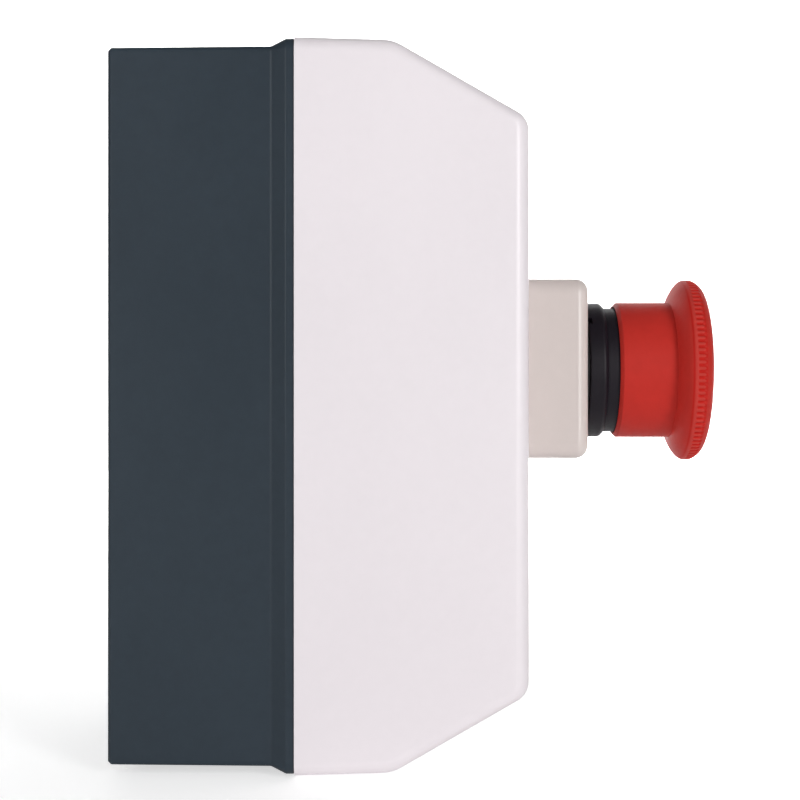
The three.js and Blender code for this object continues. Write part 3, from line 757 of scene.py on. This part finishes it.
# node, joint and its travel, coil (radius, wire radius, turns, low and high end), its place
SPRINGS = [
    ("stop_spring", "stop_press", 1.8, (6.3, 0.6, 5, -9.4, 7.7), STOP_Y, COLLAR_FACE),
    ("start_spring", "start_press", 3.0, (4.6, 0.45, 4, -12.4, -4.8), START_Y, DEPTH),
]


def springs():
    """Return springs of both controls."""
    for node, joint, travel, size, y, at in SPRINGS:
        low, high = size[3:]
        thing = piece(node.replace("spring", "return_spring"), moved(coil(*size), 0, y, at), node,
                      "enclosure", WIRE, sharp=60)
        tuple(place((0, y, at + low)))
        1 - travel / (high - low)
        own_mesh(thing)


# ---- stage, light and camera ------------------------------------------------------------------

def look(where, aim):
    """Rotation that points -Z from where to aim with Y up."""
    return (Vector(aim) - Vector(where)).to_track_quat("-Z", "Y").to_euler()


WORLD_LIGHT = 0.13  # the camera sees it as 1
FLOOR_GLOW = 0.2  # emission of the floor as light on the station
FLOOR_SEEN = 0.6  # and as the camera sees it
MIDDLE = Vector((0.0, -0.06, 0.0))
# name, azimuth from the camera's side (positive towards the wall), height angle, distance,
# width and height, power
LAMPS = [
    ("left_softbox", 34, 12, 2.4, (0.6, 1.2), 13.0),
    ("right_softbox", -34, 12, 2.4, (0.6, 1.2), 28.5),
]


def sweep():
    """Pale floor that curves up behind the station: flat, a quarter circle, then upright."""
    floor_z = cad_box[0][2] - 0.0005
    turn = np.linspace(0, math.pi / 2, 24)
    bend, flat, top = 1.0, 1.2, 2.6
    x = np.concatenate([[-3.5], flat + bend * np.sin(turn), [flat + bend]])
    z = np.concatenate([[0], bend * (1 - np.cos(turn)), [top]]) + floor_z
    y = np.linspace(-3.5, 3.5, 9)
    rows = np.stack([np.repeat(x[:, None], 9, 1), np.repeat(y[None], len(x), 0),
                     np.repeat(z[:, None], 9, 1)], axis=-1)
    points, faces = net(rows, wrap_columns=False)
    mesh = bpy.data.meshes.new("floor")
    mesh.from_pydata(points.tolist(), [], faces)
    mesh.shade_smooth()
    paper = Finish("paper")
    seen = paper.node("ShaderNodeLightPath", output="Is Camera Ray")
    glow = paper.mix(seen, shade((FLOOR_GLOW,) * 3, 1), shade((FLOOR_SEEN,) * 3, 1))
    mesh.materials.append(paper.done(Base_Color=(0.88, 0.88, 0.88, 1), Roughness=0.9,
                                     Specular_IOR_Level=0.2, Emission_Color=glow,
                                     Emission_Strength=1.0))
    ground = bpy.data.objects.new("floor", mesh)
    bpy.context.collection.objects.link(ground)


def lamp(name, where, aim, size, power, spread=180):
    """Area lamp of a width and height, aimed at a point."""
    light = bpy.data.lights.new(name, "AREA")
    light.spread = math.radians(spread)
    light.shape = "RECTANGLE"
    light.size, light.size_y = size
    light.energy = power
    thing = bpy.data.objects.new(name, light)
    thing.location = where
    thing.rotation_euler = look(where, aim)
    bpy.context.collection.objects.link(thing)


def studio():
    """White surroundings, softboxes either side of the camera and a wash on the backdrop."""
    world = bpy.data.worlds.new("studio")
    world.use_nodes = True
    bpy.context.scene.world = world
    tree = world.node_tree
    sky = tree.nodes["Background"]
    sky.inputs["Color"].default_value = (1, 1, 1, 1)
    path = tree.nodes.new("ShaderNodeLightPath")
    level = tree.nodes.new("ShaderNodeMapRange")
    level.inputs["To Min"].default_value = WORLD_LIGHT
    level.inputs["To Max"].default_value = 1.0
    tree.links.new(path.outputs["Is Camera Ray"], level.inputs["Value"])
    tree.links.new(level.outputs[0], sky.inputs["Strength"])
    for name, azimuth, rise, distance, size, power in LAMPS:
        a, e = math.radians(azimuth), math.radians(rise)
        way = Vector((-math.cos(a) * math.cos(e), math.sin(a) * math.cos(e), math.sin(e)))
        lamp(name, MIDDLE + way * distance, MIDDLE, size, power)
    lamp("backdrop_wash", (0.9, 0, 1.9), (2.2, 0, 0.6), (2.6, 0.8), 32.0, 110)
    lamp("floor_wash", (0.97, 0, 1.5), (0.95, 0, 0), (2.6, 0.3), 26.0, 60)


CAMERA_DISTANCE = 358 * MM
CAMERA_OUT = 58.0 * MM
CAMERA_UP = 1.22 * MM
LENS = 71.2


def camera():
    """Square-on view of the station's left side."""
    data = bpy.data.cameras.new("camera")
    data.lens = LENS
    data.sensor_width = 36
    data.clip_start = 0.01
    shot = bpy.data.objects.new("camera", data)
    shot.location = (-CAMERA_DISTANCE, -CAMERA_OUT, CAMERA_UP)
    shot.rotation_euler = look(shot.location, (0, -CAMERA_OUT, CAMERA_UP))
    bpy.context.collection.objects.link(shot)
    bpy.context.scene.camera = shot


camera()
dress_cad_nodes()
base_shell()
cover_shell()
cover_screws()
stop_collar()
stop_bezel()
stop_sleeve()
mushroom()
start_button()
springs()
sweep()
studio()
bpy.context.scene.view_settings.view_transform = "Standard"
